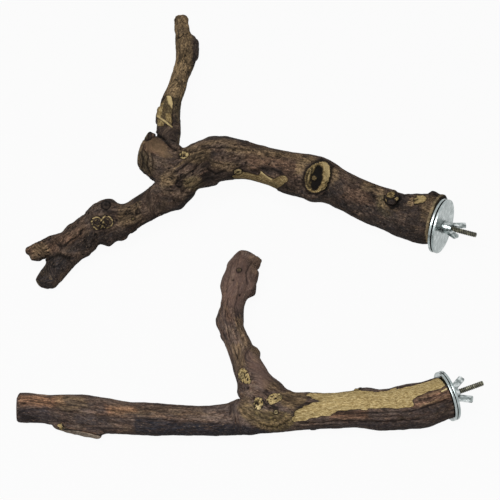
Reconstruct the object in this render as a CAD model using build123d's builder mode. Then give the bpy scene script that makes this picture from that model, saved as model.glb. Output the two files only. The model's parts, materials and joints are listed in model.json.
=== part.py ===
from build123d import *
import os
from math import cos, radians, sin

# A set of two natural-wood bird perches, lying side by side on a surface.
# Each perch is one branch with a hanger bolt in its sawn end. Two wide washers on the bolt
# clamp the wires of a cage between them, and a wing nut holds them there.
# Millimetres, +Z up, origin on the surface under the middle of the set.

# Hanger bolt: a wood thread inside the branch and a metric thread outside it
bolt_diameter = 4.0
bolt_reach = 30.0  # from the sawn end of the branch to the tip
bolt_grip = 26.0  # depth in the wood, with the point
bolt_point = 7.0
bolt_point_diameter = 0.8
bolt_tip_bevel = 0.5
pilot_bite = 0.25  # how far the wood thread bites past the pilot hole, on the radius

# Washers: an inner one against the wood and an outer one under the wing nut, wider on the forked perch
forked_washer_diameter = 40.5
crook_washer_diameter = 36.5
washer_thickness = 1.8
washer_rim_round = 0.45
washer_play = 0.15  # on the radius, around the bolt

# Wing nut: a tapered hub and two straight paddles that lean outwards
nut_base_diameter = 9.6
nut_top_diameter = 8.0
nut_height = 6.5
nut_play = 0.05  # on the radius, around the bolt
wing_span = 22.5
wing_height = 15.0  # from the nut's seat to the highest corner of a wing
wing_width = 4.8
wing_thickness = 2.3
wing_lean = 28.0  # degrees away from the bolt's axis
wing_corner = 1.0
wing_edge_round = 0.4

# Main sizes: how far the farthest station of each branch lies behind the start of its pith, and how
# far apart the two branches' pith starts are, along Y
forked_length = 265.0
crook_length = 281.0
perch_spacing = 155.7

# Where each perch lies: the start of its pith near the sawn end, its height there and the limb's
# bearing, how far from it the bolt's place is, the bearing and the rise of the bolt, and the turn of
# its wing nut from upright, in degrees. The inner washer's rim rests on the surface. The clamp gap is
# the space between the washers as they are left.
forked_pith_y = -16.8
forked_pith_spot = (134.3, forked_pith_y)
forked_pith_height = 19.86
forked_limb_bearing = -26.5
forked_bolt_shift = (2.8, -1.6)
forked_bolt_bearing = -24.0
forked_bolt_rise = 7.0
forked_nut_turn = 71.0
forked_clamp_gap = 0.9
crook_pith_spot = (138.3, forked_pith_y - perch_spacing)
crook_pith_height = 20.0
crook_limb_bearing = 22.5
crook_bolt_shift = (-1.7, 1.0)
crook_bolt_bearing = 23.5
crook_bolt_rise = 0.0
crook_nut_turn = 100.0
crook_clamp_gap = 0.5

# Limbs, by stations along their pith. A station is how far back along the limb's bearing it lies from
# the pith's start, how far left of it, how far above it, and the limb's thickness there. The stations
# are spread, back and left, to the branch's length above. A stem starts a little past the saw cut that
# squares its end to the bolt.
saw_waste = 9.0
forked_stem = [
    (-saw_waste, 5, 0, 37),
    (5, 2, 0.5, 37),
    (14, -1.5, 1, 35.5),
    (25, -4, 2, 32),
    (36, -5, 3, 30.5),
    (54, -6, 4, 29),
    (75, -5, 6, 28),
    (95, -6, 8, 33),
    (113, -11, 10, 31),
    (134, -14, 12, 27),
    (150, -19, 14, 29),
    (166, -28, 15, 33),
    (178, -45, 14, 33),
    (186, -69, 10, 26),
    (197, -85, 6, 23),
    (208, -101, 3, 26),
    (217, -108, 1, 29),
    (226, -118, -1, 27),
    (232, -131, -3, 24),
    (237, -140, -4, 20),
]
forked_upper_tip = [
    (226, -126, -3, 21),
    (234, -135, -3.5, 19),
    (244, -142, -4, 15),
    (252, -149, -5, 11),
    (258, -152, -6, 7),
]
forked_lower_tip = [
    (224, -128, -4, 21),
    (229, -139, -6, 19),
    (231.5, -152, -9.5, 17.5),
    (233, -166, -12.7, 14.5),
]
forked_rear_branch = [
    (179, -57, 12, 22),
    (193, -45, 11, 20),
    (208, -23, 9, 18),
    (218, -3, 6, 18),
    (225, 13, 3, 16),
    (229, 30, 0, 14.5),
    (234, 47, -3, 14.5),
    (239, 65, -6, 16),
    (246, 79, -9, 16),
    (257, 95, -13, 11),
    (265, 108, -14.8, 10),
]
forked_burl = [
    (184, -47, 14, 27),
    (197, -47, 16, 31),
    (208, -48, 16, 28),
    (217, -49, 15, 18),
]
crook_stem = [
    (-saw_waste, -1.5, 0, 30.5),
    (3, 0.5, 0, 31),
    (11, 1, -1, 32),
    (20, 2, -2, 33),
    (30, 5, -2.5, 32),
    (41, 8, -3, 29.5),
    (59, 17, -4.5, 27.5),
    (79, 24, -5.5, 25.5),
    (99, 32, -6, 27),
    (122, 39, -6.3, 27),
    (150, 47, -8, 22),
    (179, 59, -8.5, 21),
    (198, 68, -8.5, 22.5),
    (217, 77, -8, 23),
    (236, 88, -7.5, 25),
    (254, 99, -8.5, 22),
    (273, 110, -9.3, 21),
    (281, 113.5, -9.5, 20.5),
]
crook_side_branch = [
    (121, 34, -6, 24),
    (120, 46, -5, 27),
    (119, 64, -5, 26),
    (118, 86, -5, 20.5),
    (117, 102, -5, 18.5),
    (116, 117, -6, 18),
    (114, 125.5, -6, 18.5),
    (110, 133.5, -6, 17.5),
    (105, 142, -6.5, 18),
    (96, 153, -7.5, 23.5),
    (88, 165, -8, 23),
    (79, 172, -9.5, 20),
]
crook_sawn_knob = [
    (238, 96.5, -8, 13),
    (245, 88, -11, 12.5),
    (251, 80.5, -13.3, 11),
]
crook_knob_breadth = 2.9  # the knob is this much longer along the stem than it is high

# Swellings over healed knots: the limb, the place along it in stations, the side it is on in degrees
# up from level, its diameter and how far it stands out. They narrow from their root inside the limb
# to a shoulder level with the bark and a small crown.
knot_root_depth = 0.3  # share of the limb's radius
knot_shoulder = 0.9
knot_crown = 0.45
forked_swellings = [
    ("stem", 1.0, 105, 16, 1),
    ("stem", 3.7, 85, 10, 2.5),
    ("stem", 11.5, -35, 18, 2),
    ("stem", 12.6, -25, 22, 3),
    ("stem", 15.2, -40, 10, 2),
    ("stem", 15.4, 140, 16, 3),
    ("stem", 17.4, -30, 18, 2.5),
    ("rear_branch", 3.2, 10, 16, 1),
    ("rear_branch", 7.6, 170, 17, 2),
    ("burl", 2.2, 130, 9, 3),
]
crook_swellings = [
    ("side_branch", 3.3, 185, 12, 2),
    ("side_branch", 6.5, 5, 12, 1.5),
    ("side_branch", 8.9, 175, 14, 2.5),
]

# Face of a pruned limb on the forked perch: place along the stem, side, diameter, standing out
pruned_scar_station = 6.9
pruned_scar_side = 38.0
pruned_scar_diameter = 23.0
pruned_scar_proud = 1.5
pruned_scar_taper = 20.0

bolt_radius = bolt_diameter / 2
largest_round = 0.45  # share of a wall's width that a round on its edges may take
rim_round = min(washer_rim_round, largest_round * washer_thickness)
edge_round = min(wing_edge_round, largest_round * wing_thickness)
corner_round = min(wing_corner, largest_round * wing_width)


def lying_height(rise, washer_diameter):
    """Height of the bolt at the sawn end when the inner washer's rounded rim rests on the surface."""
    flat_radius = washer_diameter / 2 - rim_round
    return flat_radius * cos(radians(rise)) + rim_round * (1 - sin(radians(rise)))


def seat_plane(spot, height, bearing, rise):
    """A plane at the bolt's place: its Z axis points this way, and its X axis points upwards."""
    level = Vector(cos(radians(bearing)), sin(radians(bearing)), 0)
    upright = Vector(0, 0, 1)
    outward = level * cos(radians(rise)) + upright * sin(radians(rise))
    upward = upright * cos(radians(rise)) - level * sin(radians(rise))
    return Plane(origin=(*spot, height), x_dir=upward, z_dir=outward)


def spread(limbs, length):
    """The limbs with their farthest station this far back, as thick and as high as they were."""
    farthest = max(back for stations in limbs.values() for back, _, _, _ in stations)
    share = length / farthest
    return {
        name: [(back * share, left * share, up, thickness) for back, left, up, thickness in stations]
        for name, stations in limbs.items()
    }


def station_point(lie, station):
    """A station's middle, from its distances back, to the left and up."""
    back, left, up, _ = station
    return lie.origin - lie.z_dir * back - lie.y_dir * left + lie.x_dir * up


def limb_planes(lie, stations):
    """A plane square to the limb at each station, with its X axis level and its Y axis upwards."""
    points = [station_point(lie, station) for station in stations]
    planes = []
    for here, before, after in zip(points, points[:1] + points, points[1:] + points[-1:]):
        heading = (after - before).normalized()
        level = Vector(0, 0, 1).cross(heading).normalized()
        planes.append(Plane(origin=here, x_dir=level, z_dir=heading))
    return planes


def bark_plane(lie, stations, place, side):
    """A plane on the pith that faces out through the bark, and the limb's radius there."""
    planes = limb_planes(lie, stations)
    thicknesses = [thickness for _, _, _, thickness in stations]
    start = min(int(place), len(stations) - 2)
    share = place - start
    radius = (thicknesses[start] * (1 - share) + thicknesses[start + 1] * share) / 2
    origin = planes[start].origin * (1 - share) + planes[start + 1].origin * share
    outward = planes[start].x_dir * cos(radians(side)) + planes[start].y_dir * sin(radians(side))
    return Plane(origin=origin, x_dir=planes[start].z_dir, z_dir=outward), radius


def make_branch(lie, seat, limbs, breadths, swellings, scars):
    """One natural branch: tapering limbs, healed knots, pruned faces and a squared, drilled end."""
    with BuildPart() as branch:
        for name, stations in limbs.items():
            for plane, (_, _, _, thickness) in zip(limb_planes(lie, stations), stations):
                with BuildSketch(plane):
                    Ellipse(thickness / 2 * breadths.get(name, 1), thickness / 2)
            loft()
        for name, place, side, diameter, proud in swellings:
            out, radius = bark_plane(lie, limbs[name], place, side)
            with BuildSketch(out.offset(radius * knot_root_depth)):
                Circle(diameter / 2)
            with BuildSketch(out.offset(radius)):
                Circle(diameter / 2 * knot_shoulder)
            with BuildSketch(out.offset(radius + proud)):
                Circle(diameter / 2 * knot_crown)
            loft()
        for place, side, diameter, proud, taper in scars:
            out, radius = bark_plane(lie, limbs["stem"], place, side)
            with BuildSketch(out.offset(radius + proud)):
                Circle(diameter / 2)
            extrude(amount=-radius, taper=-taper)
        split(bisect_by=seat, keep=Keep.BOTTOM)
        with Locations(seat):
            Hole(bolt_radius - pilot_bite, bolt_grip)
    return branch.part


def make_bolt(seat):
    """A hanger bolt: pointed in the wood, bevelled at its free end."""
    with BuildPart() as bolt:
        with BuildSketch(Plane(origin=seat.origin, x_dir=seat.x_dir, z_dir=-seat.y_dir)):
            with BuildLine():
                Polyline(
                    (0, -bolt_grip),
                    (bolt_point_diameter / 2, -bolt_grip),
                    (bolt_radius, bolt_point - bolt_grip),
                    (bolt_radius, bolt_reach - bolt_tip_bevel),
                    (bolt_radius - bolt_tip_bevel, bolt_reach),
                    (0, bolt_reach),
                    close=True,
                )
            make_face()
        revolve(axis=Axis(seat.origin, seat.z_dir))
    return bolt.part


def make_washer(seat, height, diameter):
    """A flat washer whose rim is rounded, at this height above the sawn end."""
    with BuildPart() as washer:
        with BuildSketch(seat.offset(height)):
            Circle(diameter / 2)
        extrude(amount=washer_thickness)
        fillet(washer.edges(), rim_round)
        with Locations(seat.offset(height)):
            Hole(bolt_radius + washer_play)
    return washer.part


def make_wing_nut(seat, height, turn):
    """A wing nut at this height above the sawn end, turned about the bolt from upright wings."""
    wing_side = seat.x_dir * cos(radians(turn)) + seat.y_dir * sin(radians(turn))
    base = Plane(origin=seat.offset(height).origin, x_dir=wing_side, z_dir=seat.z_dir)
    wing_plane = Plane(origin=base.origin, x_dir=base.x_dir, z_dir=-base.y_dir)
    along = Vector(sin(radians(wing_lean)), cos(radians(wing_lean)))
    across = Vector(along.Y, -along.X) * (wing_width / 2)
    tip = Vector(wing_span / 2 - across.X, wing_height + across.Y)
    root = tip - along * (tip.X / along.X)
    with BuildPart() as nut:
        with BuildSketch(wing_plane):
            with BuildLine():
                Polyline(root - across, tip - across, tip + across, root + across, close=True)
            make_face()
            ends = vertices().sort_by_distance(root)[-2:]
            fillet(ends, corner_round)
        extrude(amount=wing_thickness / 2, both=True)
        fillet(edges().filter_by(Axis(base.origin, base.y_dir), reverse=True), edge_round)
        split(bisect_by=Plane(origin=base.origin, x_dir=base.y_dir, z_dir=base.x_dir))
        mirror(about=Plane(origin=base.origin, x_dir=base.y_dir, z_dir=base.x_dir))
        with BuildSketch(base):
            Circle(nut_base_diameter / 2)
        with BuildSketch(base.offset(nut_height)):
            Circle(nut_top_diameter / 2)
        loft()
        split(bisect_by=base)
        with Locations(base):
            Hole(bolt_radius + nut_play)
    return nut.part


def keep(piece, name):
    """Label a finished piece and write it out."""
    piece.label = name
    export_step(piece, f"parts/{name}.step")


perches = {
    "forked": {
        "length": forked_length,
        "pith_spot": forked_pith_spot,
        "pith_height": forked_pith_height,
        "limb_bearing": forked_limb_bearing,
        "bolt_shift": forked_bolt_shift,
        "bolt_bearing": forked_bolt_bearing,
        "bolt_rise": forked_bolt_rise,
        "nut_turn": forked_nut_turn,
        "clamp_gap": forked_clamp_gap,
        "washer_diameter": forked_washer_diameter,
        "limbs": {
            "stem": forked_stem,
            "upper_tip": forked_upper_tip,
            "lower_tip": forked_lower_tip,
            "rear_branch": forked_rear_branch,
            "burl": forked_burl,
        },
        "breadths": {},
        "swellings": forked_swellings,
        "scars": [
            (
                pruned_scar_station,
                pruned_scar_side,
                pruned_scar_diameter,
                pruned_scar_proud,
                pruned_scar_taper,
            ),
        ],
    },
    "crook": {
        "length": crook_length,
        "pith_spot": crook_pith_spot,
        "pith_height": crook_pith_height,
        "limb_bearing": crook_limb_bearing,
        "bolt_shift": crook_bolt_shift,
        "bolt_bearing": crook_bolt_bearing,
        "bolt_rise": crook_bolt_rise,
        "nut_turn": crook_nut_turn,
        "clamp_gap": crook_clamp_gap,
        "washer_diameter": crook_washer_diameter,
        "limbs": {
            "stem": crook_stem,
            "side_branch": crook_side_branch,
            "sawn_knob": crook_sawn_knob,
        },
        "breadths": {"sawn_knob": crook_knob_breadth},
        "swellings": crook_swellings,
        "scars": [],
    },
}

os.makedirs("parts", exist_ok=True)
for name, perch in perches.items():
    diameter = perch["washer_diameter"]
    lie = seat_plane(perch["pith_spot"], perch["pith_height"], perch["limb_bearing"], 0)
    spot = [start + shift for start, shift in zip(perch["pith_spot"], perch["bolt_shift"])]
    height = lying_height(perch["bolt_rise"], diameter)
    seat = seat_plane(spot, height, perch["bolt_bearing"], perch["bolt_rise"])
    limbs = spread(perch["limbs"], perch["length"])
    shape = (limbs, perch["breadths"], perch["swellings"], perch["scars"])
    outer_washer_height = washer_thickness + perch["clamp_gap"]
    nut_seat_height = outer_washer_height + washer_thickness
    keep(make_branch(lie, seat, *shape), f"{name}_branch")
    keep(make_bolt(seat), f"{name}_hanger_bolt")
    keep(make_washer(seat, 0, diameter), f"{name}_inner_washer")
    keep(make_washer(seat, outer_washer_height, diameter), f"{name}_outer_washer")
    keep(make_wing_nut(seat, nut_seat_height, perch["nut_turn"]), f"{name}_wing_nut")
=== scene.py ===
import heapq
import json
from math import cos, pi, radians, sin

import bpy
import numpy as np
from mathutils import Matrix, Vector, noise
from mathutils.bvhtree import BVHTree


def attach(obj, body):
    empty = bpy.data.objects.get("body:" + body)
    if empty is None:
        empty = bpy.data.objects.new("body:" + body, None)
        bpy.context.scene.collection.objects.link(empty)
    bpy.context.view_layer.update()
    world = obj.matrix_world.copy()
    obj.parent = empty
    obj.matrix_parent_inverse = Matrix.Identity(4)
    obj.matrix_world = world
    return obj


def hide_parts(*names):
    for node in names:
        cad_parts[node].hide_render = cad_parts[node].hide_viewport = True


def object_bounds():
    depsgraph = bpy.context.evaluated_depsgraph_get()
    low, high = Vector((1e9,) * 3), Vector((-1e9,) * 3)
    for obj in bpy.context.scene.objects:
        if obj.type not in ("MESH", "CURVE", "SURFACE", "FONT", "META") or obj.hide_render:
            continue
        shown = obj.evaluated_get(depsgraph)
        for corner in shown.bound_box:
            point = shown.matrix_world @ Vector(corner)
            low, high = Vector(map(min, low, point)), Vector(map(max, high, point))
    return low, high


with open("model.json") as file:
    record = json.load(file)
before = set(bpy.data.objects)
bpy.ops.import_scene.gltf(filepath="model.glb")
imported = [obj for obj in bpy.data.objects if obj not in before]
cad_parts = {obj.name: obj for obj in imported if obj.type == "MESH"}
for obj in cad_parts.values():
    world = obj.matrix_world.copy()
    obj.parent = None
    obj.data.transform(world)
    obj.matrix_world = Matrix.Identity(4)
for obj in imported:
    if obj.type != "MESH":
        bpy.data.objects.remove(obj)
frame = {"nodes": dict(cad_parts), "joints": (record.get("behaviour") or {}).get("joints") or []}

cadLow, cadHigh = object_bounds()
mm = 0.001
clearance = 0.02  # mm that the bark keeps from the CAD box and from the washer
farAway = 1e9
tiny = 1e-9

# camera: where the photograph was taken from, in mm and degrees
cameraView = {
    "target": (-0.6, -37.5, 15.0),
    "elevation": 52.0,
    "distance": 2500.0,
    "lens": 246.6,
    "sensor": 36.0,
    "imageSize": 500,
    "clipEnd": 20.0,
}

# soft studio light over a white table, in metres
studio = {
    "worldStrength": 0.14,
    "softboxSize": 0.9,
    "softboxPlace": (-0.3, -0.55, 1.25),
    "softboxPower": 23.0,
    "tableColour": (0.3, 0.3, 0.3),
    "tableWhite": 0.95,  # share of plain white that the camera sees in the table
    "tableHalf": 6.0,
    "tableDrop": 0.0005,
}


def paint(red, green, blue):  # a colour as a paint chart gives it, 0 to 255
    shares = [value / 255 for value in (red, green, blue)]
    return (*[((s + 0.055) / 1.055) ** 2.4 if s > 0.04 else s / 12.92 for s in shares], 1.0)


def softStep(low, high, value):
    share = np.clip((value - low) / (high - low), 0, 1)
    return share * share * (3 - 2 * share)


def unit(vectors):
    return vectors / np.maximum(np.linalg.norm(vectors, axis=-1, keepdims=True), tiny)


def noiseAt(points):
    return np.array([noise.noise(point) for point in points.tolist()])


def addObject(name, data):
    thing = bpy.data.objects.new(name, data)
    bpy.context.scene.collection.objects.link(thing)
    return thing


# the camera's place and axes, for finding what a pixel shows
tilt = radians(cameraView["elevation"])
cameraRight = np.array((1.0, 0.0, 0.0))
cameraUp = np.array((0.0, sin(tilt), cos(tilt)))
cameraLook = np.array((0.0, cos(tilt), -sin(tilt)))
cameraEye = np.array(cameraView["target"]) - cameraLook * cameraView["distance"]
focalPixels = cameraView["lens"] / cameraView["sensor"] * cameraView["imageSize"]
pixelSize = cameraView["distance"] / focalPixels
imageMiddle = cameraView["imageSize"] / 2


def toPixels(places):
    away = places - cameraEye
    scale = focalPixels / (away @ cameraLook)
    columns = imageMiddle + away @ cameraRight * scale
    rows = imageMiddle - away @ cameraUp * scale
    return np.stack((columns, rows), axis=-1)


def pixelRay(pixel):
    sideways = (pixel[0] - imageMiddle) / focalPixels
    upwards = (imageMiddle - pixel[1]) / focalPixels
    return unit(cameraLook + cameraRight * sideways + cameraUp * upwards)


# branch mesh: a fine even skin over the CAD branch, with the run of the grain worked out on it

growth = {
    "startDepth": 1.0,  # mm of the sawn end from which distance is counted
    "ringStep": 5,
    "reachRounds": 20,
    "headingRounds": 30,
    "farthest": 1e3,
}
raggedSize = (6.0, 1.7, 1.7)  # mm along and across the grain
facingFade = (-0.3, -0.05)  # where marks fade out round the branch's edge


def washerSeat(name):  # middle of the sawn end, and the way out along the bolt
    joint = next(j for j in frame["joints"] if j["name"] == name + "_inner_washer_spin")
    return np.array(joint["pos_m"]) / mm, unit(np.array(joint["axis"]))


def remeshed(node, voxel):
    source = addObject("remeshing", node.data.copy())
    remesh = source.modifiers.new("voxels", "REMESH")
    remesh.mode = "VOXEL"
    remesh.voxel_size = voxel * mm
    remesh.use_smooth_shade = True
    graph = bpy.context.evaluated_depsgraph_get()
    mesh = bpy.data.meshes.new_from_object(source.evaluated_get(graph))
    bpy.data.objects.remove(source)
    return mesh


def readArray(items, field, width, kind=np.float32):
    values = np.zeros(len(items) * width, kind)
    items.foreach_get(field, values)
    return values.reshape(-1, width)


def addLayer(mesh, name, values, kind="FLOAT", field="value"):
    layer = mesh.attributes.new(name, kind, "POINT")
    layer.data.foreach_set(field, values.astype(np.float32).ravel())


def smoothed(values, edges, rounds, share=0.5):
    first, second = edges.T
    count = len(values)
    links = np.bincount(first, minlength=count) + np.bincount(second, minlength=count)
    links = np.maximum(links, 1)[:, None]
    for _ in range(rounds):
        total = np.stack([
            np.bincount(first, column[second], count) + np.bincount(second, column[first], count)
            for column in values.T
        ], axis=1)
        values = values + share * (total / links - values)
    return values


def distanceFrom(starts, edges, lengths, count):
    ways = np.concatenate((edges, edges[:, ::-1]))
    order = np.argsort(ways[:, 0], kind="stable")
    goals = ways[order, 1].tolist()
    spans = np.concatenate((lengths, lengths))[order].tolist()
    firsts = np.searchsorted(ways[order, 0], np.arange(count + 1)).tolist()
    reach = [farAway] * count
    for start in starts:
        reach[start] = 0.0
    queue = [(0.0, start) for start in starts]
    while queue:
        gone, here = heapq.heappop(queue)
        if gone > reach[here]:
            continue
        for k in range(firsts[here], firsts[here + 1]):
            total = gone + spans[k]
            if total < reach[goals[k]]:
                reach[goals[k]] = total
                heapq.heappush(queue, (total, goals[k]))
    return np.minimum(np.array(reach), growth["farthest"])


def ringLabels(rings, edges):  # one label for each closed band of skin at the same distance
    group = list(range(len(rings)))

    def root(item):
        while group[item] != item:
            group[item] = group[group[item]]
            item = group[item]
        return item

    for first, second in edges[rings[edges[:, 0]] == rings[edges[:, 1]]].tolist():
        group[root(second)] = root(first)
    return np.unique([root(item) for item in range(len(rings))], return_inverse=True)[1]


def growthField(place, edges, quads, seat, outward):
    # distance from the sawn end, the heading of the wood and the place on its cross-section
    diagonals = np.concatenate((quads[:, [0, 2]], quads[:, [1, 3]]))
    ways = np.concatenate((edges, diagonals))
    lengths = np.linalg.norm(place[ways[:, 0]] - place[ways[:, 1]], axis=1)
    starts = np.flatnonzero((place - seat) @ outward > -growth["startDepth"])
    reach = distanceFrom(starts.tolist(), ways, lengths, len(place))
    reach = smoothed(reach[:, None], edges, growth["reachRounds"])[:, 0]
    rings = np.floor(reach / growth["ringStep"]).astype(int)
    labels = ringLabels(rings, edges)
    members = np.bincount(labels)[:, None]
    centres = np.stack([np.bincount(labels, column) for column in place.T], axis=1) / members
    crossing = edges[rings[edges[:, 0]] != rings[edges[:, 1]]]
    backwards = rings[crossing[:, 0]] > rings[crossing[:, 1]]
    crossing = np.where(backwards[:, None], crossing[:, ::-1], crossing)
    pairs = np.unique(labels[crossing], axis=0)
    steps = unit(centres[pairs[:, 1]] - centres[pairs[:, 0]])
    headings = np.zeros_like(centres)
    np.add.at(headings, pairs[:, 0], steps)
    np.add.at(headings, pairs[:, 1], steps)
    heading = unit(smoothed(unit(headings)[labels], edges, growth["headingRounds"]))
    offset = place - centres[labels]
    offset -= heading * np.sum(offset * heading, axis=1, keepdims=True)
    pith = smoothed(place - offset, edges, growth["headingRounds"])
    offset = place - pith
    side = unit(np.cross((0.0, 0.0, 1.0), heading))
    top = np.cross(heading, side)
    grain = np.stack((reach, np.sum(offset * side, axis=1), np.sum(offset * top, axis=1)), axis=1)
    return heading, grain


# crevice: painted shade in cracks, pits, knot grooves and hollows; dark: partly the bark's blue-black colour,
# partly painted shade on the lower sides
masks = ("bare", "pale", "dark", "warm", "olive", "sand", "calm", "creviceShade", "cut")


def branchSkin(perch):
    name = perch["name"]
    seat, outward = washerSeat(name)
    mesh = remeshed(frame["nodes"][name + "_branch"], perch["voxel"])
    place = readArray(mesh.vertices, "co", 3).astype(float) / mm
    edges = readArray(mesh.edges, "vertices", 2, np.int32)
    quads = readArray(mesh.loops, "vertex_index", 1, np.int32).reshape(-1, 4)
    place = smoothed(place, edges, perch["smoothing"])
    for nudge in perch["nudges"]:
        addNudge(place, *nudge)
    for crease in perch["creases"]:
        evenOut(place, edges, *crease)
    heading, grain = growthField(place, edges, quads, seat, outward)
    skin = {
        "mesh": mesh, "quads": quads, "seat": seat, "outward": outward,
        "heading": heading, "grain": grain, "lift": np.zeros(len(place)),
    }
    for mask in masks:
        skin[mask] = np.zeros(len(place))
    setShape(skin, place)
    skin["tree"] = BVHTree.FromPolygons(place.tolist(), quads.tolist())
    skin["ragged"] = noiseAt(grain / raggedSize + perch["seed"])
    print(name, "branch skin:", len(place), "points")
    return skin


def setShape(skin, place):
    mesh = skin["mesh"]
    mesh.vertices.foreach_set("co", (place * mm).astype(np.float32).ravel())
    mesh.update()
    skin["place"] = place
    skin["normal"] = readArray(mesh.vertex_normals, "vector", 3).astype(float)
    skin["pixels"] = toPixels(place)
    skin["towards"] = np.sum(skin["normal"] * unit(cameraEye - place), axis=1)
    skin["facing"] = softStep(*facingFade, skin["towards"])


def raiseMask(skin, mask, values, near=slice(None)):
    skin[mask][near] = np.maximum(skin[mask][near], values)


def runDistance(pixels, start, end):
    run = end - start
    offset = pixels - start
    share = np.clip(offset @ run / (run @ run), 0, 1)[:, None]
    return np.linalg.norm(offset - share * run, axis=1)


def routeDistance(pixels, route):
    points = np.array(route, float)
    nearest = np.linalg.norm(pixels - points[0], axis=1)
    for start, end in zip(points[:-1], points[1:]):
        nearest = np.minimum(nearest, runDistance(pixels, start, end))
    return nearest


def outlineDistance(pixels, outline):  # below zero inside
    corners = np.array(outline, float)
    nearest = np.full(len(pixels), farAway)
    inside = np.zeros(len(pixels), bool)
    for start, end in zip(corners, np.roll(corners, -1, axis=0)):
        nearest = np.minimum(nearest, runDistance(pixels, start, end))
        run = end - start
        crosses = (start[1] > pixels[:, 1]) != (end[1] > pixels[:, 1])
        edgeColumn = start[0] + (pixels[:, 1] - start[1]) * run[0] / (run[1] or tiny)
        inside ^= crosses & (pixels[:, 0] < edgeColumn)
    return np.where(inside, -nearest, nearest)


def addNudge(place, route, radius, move):  # shifts a stretch of the outline along the table, in pixels
    fall = np.exp(-(routeDistance(toPixels(place), route) / radius) ** 2)
    place[:, 0] += fall * move[0] * pixelSize
    place[:, 1] -= fall * move[1] * pixelSize / sin(tilt)


def evenOut(place, edges, route, radius, rounds):  # smooths a crease, with its place in pixels
    fall = np.exp(-(routeDistance(toPixels(place), route) / radius) ** 2)[:, None]
    place += fall * (smoothed(place, edges, rounds) - place)


# marks on the bark; routes, outlines and places are pixels, depths and widths are mm

crumbForm = {  # where the noise is dark, with painted shade in the crumbs' hollows, and where it still counts as crumbs
    "size": 1.4,
    "shift": 5,
    "patchShade": (-0.12, -0.45),
    "patchDark": 0.8,
    "patchKeep": (-0.5, -0.15),
    "knotShade": (-0.1, -0.4),
    "knotDark": 0.9,
    "knotKeep": (-0.45, -0.1),
}
crackLips = {"height": 0.35, "place": 2.2}  # shares of the crack's depth and width
knotForm = {  # rings are shares of the knot's size
    "wobble": (0.26, 0.8),
    "dome": (0.5, 1.7),
    "moat": 1.05,
    "moatWidth": (0.07, 0.55),
    "heart": 0.42,
    "ringedHeart": 0.55,
    "face": (1.0, 0.8),
    "outerRing": (0.62, 0.74),
    "innerRing": (0.24, 0.36),
    "innerEnd": (0.52, 0.42),
    "innerShare": 0.8,
    "paleFrom": (0.3, 0.6),
    "reach": 3,
    "sameSide": 0.1,  # least turn towards the knot's own normal
}
hiddenKnot = {  # least, and how much more the largest has
    "size": (1.2, 3.0),
    "rise": (0.2, 0.9),
    "groove": (0.3, 0.3),
    "heart": 0.5,
    "bare": 0.7,
    "bareFrom": 0.7,
    "dark": 0.7,
    "fromCut": 8,
    "turnedAway": 0.1,
}
barkForm = {  # sizes along and across the grain, with shifts that set them apart
    "lumps": ((0.45, 12), (0.25, 5)),  # share and size
    "ridges": (16, 3.4, 3.4),
    "crust": (3.4, 2.2, 2.2),
    "furrows": (24, 4.2, 4.2),
    "flakes": (9, 4.5, 4.5),
    "crustShift": 60,
    "furrowShift": 40,
    "flakeShift": 90,
    "patchSize": 20,
    "patchShift": 17,
    "grainSeed": 7.3,
    "placeSeed": 3.1,
    "furrowNarrow": 8,
    "flakeEdge": (0.1, 0.22),
    "patchEdge": (-0.1, 0.4),
    "calmShare": 0.8,
    "bareRidges": 0.08,
    # painted shade on downward-facing bark, and the normal's rise over which it fades in
    "undersideShade": 0.75,
    "undersideTurn": (0.25, -0.55),
}
cutForm = {
    "squareness": (0.72, 0.92),  # of a face to the grain, where it looks sawn
    "rimFade": (-0.5, 0.3),
    "seatShadowFade": (-0.3, 0.1),
    "seatShadowDark": 0.85,
    "flatter": 0.6,
}


def crumbsAt(skin, near):
    return noiseAt(skin["place"][near] / crumbForm["size"] + crumbForm["shift"])


def addPatch(skin, kind, outline, soft=1.0, strength=1.0, depth=0.0, ragged=2.0, crumble=0.0):
    edge = outlineDistance(skin["pixels"], outline) + skin["ragged"] * ragged
    mask = softStep(soft, -soft, edge) * skin["facing"]
    skin["lift"] -= depth * mask
    if crumble:
        near = np.flatnonzero(mask > 0.01)
        crumbs = crumbsAt(skin, near)
        skin["lift"][near] += crumble * crumbs * mask[near]
        # painted shade in the crumbled hollows
        shade = mask[near] * softStep(*crumbForm["patchShade"], crumbs)
        raiseMask(skin, "creviceShade", crumbForm["patchDark"] * shade, near)
        mask[near] *= softStep(*crumbForm["patchKeep"], crumbs)
    raiseMask(skin, kind, mask * strength)


def addCrack(skin, route, width=0.8, depth=0.7, dark=0.9, wander=0.8):
    pixels = skin["pixels"] + skin["ragged"][:, None] * wander
    nearest = routeDistance(pixels, route) * pixelSize
    groove = np.exp(-(nearest / width) ** 2) * skin["facing"]
    lips = np.exp(-((nearest - crackLips["place"] * width) / width) ** 2) * skin["facing"]
    skin["lift"] += crackLips["height"] * depth * lips - depth * groove
    # painted shade down in the crack's groove
    raiseMask(skin, "creviceShade", dark * groove)


def addStripe(skin, route, width, lift=0.0, tints=None, wander=0.8):  # a raised or tinted line
    pixels = skin["pixels"] + skin["ragged"][:, None] * wander
    line = np.exp(-(routeDistance(pixels, route) * pixelSize / width) ** 2) * skin["facing"]
    skin["lift"] += lift * line
    for tint, strength in (tints or {}).items():
        raiseMask(skin, tint, strength * line)


def spotUnder(skin, pixel):
    hit, _, face, _ = skin["tree"].ray_cast(Vector(cameraEye), Vector(pixelRay(pixel)))
    if hit is None:
        raise ValueError(f"no bark under pixel {pixel}")
    return np.array(hit), skin["quads"][face]


def addPit(skin, at, radius=0.9, depth=0.8, dark=0.95):  # a small round hole, painted with shade inside
    centre, _ = spotUnder(skin, at)
    hole = np.exp(-np.sum((skin["place"] - centre) ** 2, axis=1) / radius ** 2)
    skin["lift"] -= depth * hole
    raiseMask(skin, "creviceShade", dark * hole)


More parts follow.
